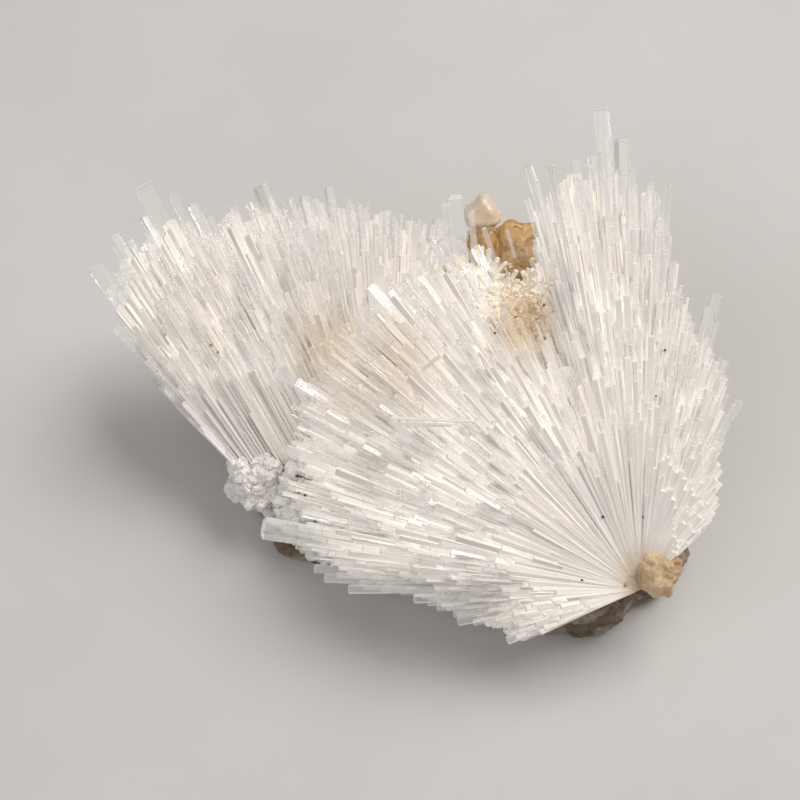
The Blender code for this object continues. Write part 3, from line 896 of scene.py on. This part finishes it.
def tinted_crystal_material(name, surface, absorbed, density, rough_values, see_through):
    """Tinted see-through crystal: its colour deepens with its thickness."""
    material, tree, shader = fresh_material(
        name, Transmission_Weight=see_through, IOR=1.5, Specular_IOR_Level=0.5
    )
    place = object_place(tree)
    clouds = noise_of(tree, place, 260.0, 4.0, 0.6)
    steps = noise_of(tree, stretched(tree, place, (400, 900, 1500)), 1.0, 3.0)
    colour = ramp_of(tree, clouds, [(0.35, surface[0]), (0.65, surface[1])])
    tree.links.new(colour, shader.inputs["Base Color"])
    low, high = rough_values
    set_roughness(tree, shader, steps, (0.35, low), (0.7, high))
    bumped(tree, shader, steps, 0.1, 0.5)
    volume = add(tree, "ShaderNodeVolumeAbsorption", Color=(*absorbed, 1.0), Density=density)
    output = tree.nodes["Material Output"]
    tree.links.new(volume.outputs["Volume"], output.inputs["Volume"])
    return material


def floor_material():
    """A pale, matt, faintly mottled studio sheet."""
    material, tree, shader = fresh_material("pale sheet", Roughness=0.85)
    mottle = noise_of(tree, object_place(tree), 14.0, 4.0)
    colour = ramp_of(tree, mottle, [(0.3, (0.6, 0.59, 0.58)), (0.7, (0.66, 0.65, 0.64))])
    tree.links.new(colour, shader.inputs["Base Color"])
    return material


def unshaded(piece, see_through):
    """Needles let the light through to the crystal behind them, and clear ones all of it."""
    piece.visible_shadow = False
    piece.visible_diffuse = not see_through


def settle(piece, slot, *replaced):
    """Fixes a finished piece to the specimen and hides the nodes that it stands for; its finish,
    the slot, is not used.
    """
    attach(piece, "root")
    if replaced:
        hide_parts(*replaced)


def build_spray(side, spray, finishes):
    """A spray: its milky middle, its needles in layers, and the tall crystals of its outline."""
    clear, frosted, silk, milk, white_end = finishes
    seed = spray["seed"]
    body = milky_body(side + "_milky_middle", spray)
    body.data.materials.append(silk)
    settle(body, "clear_needles", side + "_spray")
    patterns = [
        pattern_of(model_needle("blunt_needle", *BLUNT_END)),
        pattern_of(model_needle("chisel_needle", *CHISEL_END)),
        pattern_of(model_needle("slant_needle", *SLANT_END)),
    ]
    stand = spray_stand(spray, seed)
    for name, chosen, finish in (
        ("_clear_needles", stand["clear"], [clear, frosted]),
        ("_milky_needles", ~stand["clear"], [milk, white_end]),
    ):
        group = part_of(stand, chosen)
        kind = np.arange(len(group["far"])) % len(patterns)
        piece = joined(side + name, [
            copies("needles", pattern, part_of(group, kind == number), finish)
            for number, pattern in enumerate(patterns)
        ])
        unshaded(piece, finish[0] is clear)
        settle(piece, "clear_needles", side + "_spray")
    tall = pattern_of(model_needle("tall_crystal", *TALL_END, bevelled=True))
    tall_ones = tall_stand(spray, seed + 2)
    piece = copies(side + "_tall_crystals", tall, tall_ones, [clear, frosted])
    unshaded(piece, True)
    settle(piece, "clear_needles", side + "_spray")
    inner = milk_of(part_of(stand, stand["clear"]), NEEDLE_MILK, seed + 1)
    inside = joined(side + "_milky_threads", [
        copies("threads", patterns[0], inner, [milk]),
        copies("threads", patterns[0], milk_of(tall_ones, TALL_MILK, seed + 3), [milk]),
    ])
    settle(inside, "clear_needles", side + "_spray")


def build_stone(finishes, needle_finishes):
    """The rock, the buff root, the druse at the edge and the two tinted crystals."""
    rock, buff, druse, amber, peach = finishes
    tan, white_end = needle_finishes
    stub = pattern_of(model_needle("stub_crystal", *STUB_END))
    base = roughened(copy_of("matrix", "rock_base"), ROCK_SKIN, ROCK_LUMPS, floor=0.0)
    base.data.materials.append(rock)
    settle(base, "rock", "matrix")
    for row in TAN_CARPETS:
        piece = carpet(row, stub, base, on_hump, [tan, white_end])
        unshaded(piece, False)
        settle(piece, "clear_needles", "matrix")
    piece = copies("gap_crystals", stub, gap_stand(), [tan, tan], root_width=1.0)
    unshaded(piece, False)
    settle(piece, "clear_needles", "matrix")
    for row in MARGIN_CARPETS:
        piece = carpet(row, stub, base, at_left_margin, [druse, white_end])
        settle(piece, "white_druse", "matrix")
    nub = roughened(copy_of("root_nub", "buff_root"), NUB_SKIN, NUB_LUMPS)
    nub.data.materials.append(buff)
    settle(nub, "buff_root", "root_nub")
    crust = roughened(copy_of("edge_druse", "edge_crust"), CRUST_SKIN, CRUST_LUMPS)
    crust.data.materials.append(druse)
    settle(crust, "white_druse", "edge_druse")
    piece = carpet(DRUSE_CARPET, stub, crust, everywhere, [druse, white_end])
    settle(piece, "white_druse", "edge_druse")
    for node, name, finish, turns in (
        ("amber_crystal", "honey_amber", amber, AMBER_TURNS),
        ("peach_crystal", "pale_peach", peach, PEACH_TURNS),
    ):
        lump = copy_of(node, name)
        apply_modifier(lump, "REMESH", mode="VOXEL", voxel_size=CRYSTAL_SKIN * MM)
        apply_modifier(lump, "SMOOTH", factor=CRYSTAL_SMOOTHING, iterations=turns)
        lump = pushed(lump, CRYSTAL_LUMPS)
        lump.data.materials.append(finish)
        lump.data.polygons.foreach_set("use_smooth", [True] * len(lump.data.polygons))
        settle(lump, name.split("_")[1], node)


def sight(right, down):
    """The camera's place, and the direction of its view through a pixel."""
    step = SENSOR / CAMERA_LENS / IMAGE_WIDTH
    middle = IMAGE_WIDTH / 2
    way = FACE_RIGHT * (right - middle) * step + FACE_UP * (middle - down) * step - FACE_OUT
    return CAMERA_AIM + FACE_OUT * CAMERA_FAR, way.normalized()


def surfaces():
    """The search trees of all pieces that are built so far."""
    view = bpy.context.evaluated_depsgraph_get()
    nodes = set(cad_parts.values())
    built = [piece for piece in bpy.context.scene.objects if piece.type == "MESH"]
    return [BVHTree.FromObject(piece, view) for piece in built if piece not in nodes]


def spot_seen(trees, right, down, beside=None):
    """The nearest point of the built pieces that is seen in a pixel, or one level with another."""
    eye, way = sight(right, down)
    hits = [hit for hit in (tree.ray_cast(eye, way) for tree in trees) if hit[0]]
    if not hits:
        return eye + way * ((beside - eye).dot(FACE_OUT) / way.dot(FACE_OUT))
    return min(hits, key=lambda hit: hit[3])[0]


def loose_stand(trees, rows, seed):
    """Where loose crystals lie, from where their ends are seen."""
    random = np.random.default_rng(seed)
    ends = []
    for right, down, far_right, far_down, width, lift in rows:
        start = spot_seen(trees, right, down)
        stop = spot_seen(trees, far_right, far_down, start)
        height = max(start @ FACE_OUT, stop @ FACE_OUT) + lift * MM
        root = start + FACE_OUT * (height - start @ FACE_OUT) * LOOSE_LIFT
        ends.append((root, stop + FACE_OUT * (height - stop @ FACE_OUT)))
    start = np.array([one for one, two in ends])
    along = np.array([two - one for one, two in ends])
    length = np.linalg.norm(along, axis=1)
    width = np.array([row[4] for row in rows]) * MM
    count = len(ends)
    return {
        "start": start, "direction": along / length[:, None], "near": np.zeros(count),
        "far": length, "width": width, "thick": width * LOOSE_FLATNESS,
        "turn": random.normal(0, NEEDLE_TURN, count), "streaks": random.random(count),
    }


def build_loose_things(crystal, frosted_end, milky, white_end):
    """Loose crystals that lie across the sprays and the amber, and specks of dust and rust."""
    trees = surfaces()
    pattern = pattern_of(model_needle("loose_crystal", *LOOSE_END, bevelled=True))
    for name, rows, finish, end, seed in (
        ("loose_clear_crystals", LOOSE_CLEAR, crystal, frosted_end, 71),
        ("loose_white_crystals", LOOSE_WHITE, milky, white_end, 73),
    ):
        stand = loose_stand(trees, rows, seed)
        piece = copies(name, pattern, stand, [finish, end], root_width=1.0)
        unshaded(piece, finish is crystal)
        settle(piece, "clear_needles")
    for name, finish, rusty in (
        ("dark_specks", stone_material("dark dust", *DARK_DUST), 0),
        ("rusty_specks", stone_material("rust", *RUST), 1),
    ):
        grains = []
        for right, down, size, kind in SPECKS:
            if kind != rusty:
                continue
            clear_selection()
            bpy.ops.mesh.primitive_ico_sphere_add(
                subdivisions=2, radius=size / 2 * MM, location=spot_seen(trees, right, down)
            )
            bpy.ops.object.transform_apply(location=True, rotation=False, scale=False)
            grains.append(pushed(bpy.context.object, SPECK_LUMPS))
        piece = joined(name, grains)
        piece.data.materials.append(finish)
        settle(piece, "rock")


def build_studio():
    """Floor, soft lights and the camera."""
    clear_selection()
    bpy.ops.mesh.primitive_plane_add(size=FLOOR_SIZE, location=(0, 0, 0))
    floor = rename(bpy.context.object, "floor")
    floor.data.materials.append(floor_material())
    for name, place, size, power, colour in LIGHTS:
        lamp = bpy.data.lights.new(name, "AREA")
        lamp.size = size
        lamp.energy = power
        lamp.color = colour
        light = bpy.data.objects.new(name, lamp)
        bpy.context.scene.collection.objects.link(light)
        light.location = place
        aim = LIGHTS_AIM - Vector(place)
        light.rotation_euler = aim.to_track_quat("-Z", "Y").to_euler()
    world = bpy.data.worlds.new("studio")
    bpy.context.scene.world = world
    world.use_nodes = True
    sky = world.node_tree.nodes["Background"]
    sky.inputs["Color"].default_value = SKY_COLOUR
    sky.inputs["Strength"].default_value = SKY_STRENGTH
    lens = bpy.data.cameras.new("camera")
    lens.lens = CAMERA_LENS
    lens.sensor_width = SENSOR
    lens.clip_start = 0.01
    camera = bpy.data.objects.new("camera", lens)
    bpy.context.scene.collection.objects.link(camera)
    camera.location = CAMERA_AIM + FACE_OUT * CAMERA_FAR
    camera.rotation_euler = (FACE_SLOPE, 0, 0)
    bpy.context.scene.camera = camera


clear = clear_needle_material()
frosted = frosted_end_material("frosted end", see_through=0.45)
silk = milk_material("milky silk", *SILK_STREAKS, *MILK_WHITES)
milk = milk_material("milky needle", *NEEDLE_STREAKS, *MILK_WHITES)
white_end = frosted_end_material("white end", see_through=0.0)
crystal_finishes = (clear, frosted, silk, milk, white_end)
build_spray("right", RIGHT_SPRAY, crystal_finishes)
build_spray("left", LEFT_SPRAY, crystal_finishes)
tan = milk_material("tan needle", *NEEDLE_STREAKS, *TAN_WHITES)
build_stone((
    stone_material("brown rock", *BROWN_ROCK),
    stone_material("buff root stone", *BUFF_STONE),
    stone_material("white druse", *WHITE_CRUST),
    tinted_crystal_material("amber", *AMBER),
    tinted_crystal_material("peach", *PEACH),
), (tan, white_end))
build_loose_things(clear, frosted, milk, white_end)
build_studio()
bpy.context.scene.view_settings.view_transform = "Standard"
cycles = bpy.context.scene.cycles
cycles.max_bounces = BOUNCES
cycles.transmission_bounces = BOUNCES
